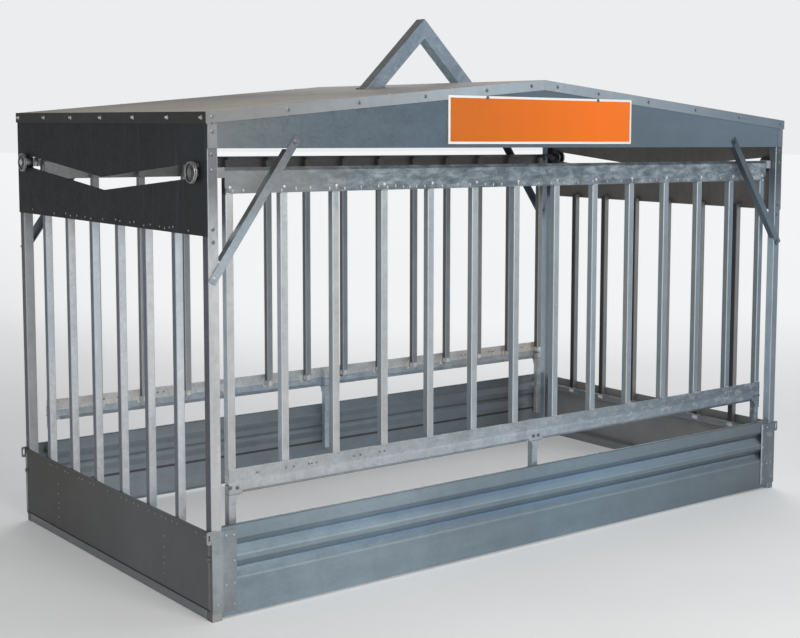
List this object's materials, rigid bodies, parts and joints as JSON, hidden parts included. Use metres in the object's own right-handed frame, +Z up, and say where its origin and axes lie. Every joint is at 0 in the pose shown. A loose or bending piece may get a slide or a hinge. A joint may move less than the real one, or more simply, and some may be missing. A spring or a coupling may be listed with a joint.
{
  "type": "livestock hay feeder",
  "caption": "Roofed hay bale feeder for sheep: galvanised frame, sliding side grilles hung on flanged rollers in V tracks, fixed end bars, sheet skirts and a lifting bail.",
  "frame": {"origin": "on the ground under the middle of the feeder", "axes": "+X along the length towards the right end, +Y across the width towards the back grille, +Z up; the front grille is at -Y"},
  "size_m": [3.052, 1.6632, 2.185],
  "materials": {
    "galvanised_tube": "hot-dip galvanised square tube, worn",
    "galvanised_rail": "spangled galvanised sheet and tube",
    "blue_sheet": "blue-grey weathered galvanised sheet",
    "shaded_sheet": "dark weathered galvanised sheet",
    "roof_sheet": "dull warm-grey galvanised roof sheet",
    "bare_zinc": "bright zinc plate"
  },
  "bodies": {
    "frame": {"back_fascia": "blue_sheet", "back_skirt": "blue_sheet", "brace_back_left": "bare_zinc", "brace_back_right": "bare_zinc", "brace_front_left": "bare_zinc", "brace_front_right": "bare_zinc", "corner_plate_back_left": "blue_sheet", "corner_plate_back_right": "blue_sheet", "corner_plate_front_left": "blue_sheet", "corner_plate_front_right": "blue_sheet", "front_fascia": "blue_sheet", "front_skirt": "blue_sheet", "left_base_rail": "galvanised_tube", "left_end_bar_1": "galvanised_tube", "left_end_bar_2": "galvanised_tube", "left_end_bar_3": "galvanised_tube", "left_end_bar_4": "galvanised_tube", "left_end_bar_5": "galvanised_tube", "left_end_bar_6": "galvanised_tube", "left_end_skirt": "shaded_sheet", "left_header": "galvanised_tube", "left_mid_rail": "galvanised_tube", "left_roof_panel": "roof_sheet", "left_track_panel": "shaded_sheet", "left_upper_panel": "shaded_sheet", "lift_bail": "galvanised_tube", "lift_beam": "galvanised_tube", "post_back_left": "galvanised_tube", "post_back_right": "galvanised_tube", "post_front_left": "galvanised_tube", "post_front_right": "galvanised_tube", "right_base_rail": "galvanised_tube", "right_end_bar_1": "galvanised_tube", "right_end_bar_2": "galvanised_tube", "right_end_bar_3": "galvanised_tube", "right_end_bar_4": "galvanised_tube", "right_end_bar_5": "galvanised_tube", "right_end_bar_6": "galvanised_tube", "right_end_skirt": "shaded_sheet", "right_header": "galvanised_tube", "right_mid_rail": "galvanised_tube", "right_roof_panel": "roof_sheet", "right_track_panel": "shaded_sheet", "right_upper_panel": "shaded_sheet"},
    "front_gate": {"front_gate_grille": "galvanised_rail", "front_gate_bottom_rail": "galvanised_rail"},
    "back_gate": {"back_gate_grille": "galvanised_rail", "back_gate_bottom_rail": "galvanised_rail"},
    "roller_front_left": {"roller_front_left_outer_flange": "bare_zinc", "roller_front_left_tread": "bare_zinc", "roller_front_left_inner_flange": "bare_zinc"},
    "roller_front_right": {"roller_front_right_outer_flange": "bare_zinc", "roller_front_right_tread": "bare_zinc", "roller_front_right_inner_flange": "bare_zinc"},
    "roller_back_left": {"roller_back_left_outer_flange": "bare_zinc", "roller_back_left_tread": "bare_zinc", "roller_back_left_inner_flange": "bare_zinc"},
    "roller_back_right": {"roller_back_right_outer_flange": "bare_zinc", "roller_back_right_tread": "bare_zinc", "roller_back_right_inner_flange": "bare_zinc"}
  },
  "joints": [
    {"name": "front_gate_slide", "type": "slide", "parent": "frame", "child": "front_gate", "axis": [0, 0.9955, -0.0946], "range_m": [0, 0.69]},
    {"name": "back_gate_slide", "type": "slide", "parent": "frame", "child": "back_gate", "axis": [0, -0.9955, -0.0946], "range_m": [0, 0.69]},
    {"name": "roller_front_left_spin", "type": "hinge", "parent": "front_gate", "child": "roller_front_left", "pos_m": [-1.5, -0.743, 1.54951], "axis": [1, 0, 0], "continuous": true},
    {"name": "roller_front_right_spin", "type": "hinge", "parent": "front_gate", "child": "roller_front_right", "pos_m": [1.5, -0.743, 1.54951], "axis": [1, 0, 0], "continuous": true},
    {"name": "roller_back_left_spin", "type": "hinge", "parent": "back_gate", "child": "roller_back_left", "pos_m": [-1.5, 0.743, 1.54951], "axis": [1, 0, 0], "continuous": true},
    {"name": "roller_back_right_spin", "type": "hinge", "parent": "back_gate", "child": "roller_back_right", "pos_m": [1.5, 0.743, 1.54951], "axis": [1, 0, 0], "continuous": true}
  ],
  "couplings": [
    {"joint": "roller_front_left_spin", "follows": "front_gate_slide", "rad_per_m": -57.143},
    {"joint": "roller_front_right_spin", "follows": "front_gate_slide", "rad_per_m": -57.143},
    {"joint": "roller_back_left_spin", "follows": "back_gate_slide", "rad_per_m": 57.143},
    {"joint": "roller_back_right_spin", "follows": "back_gate_slide", "rad_per_m": 57.143}
  ]
}
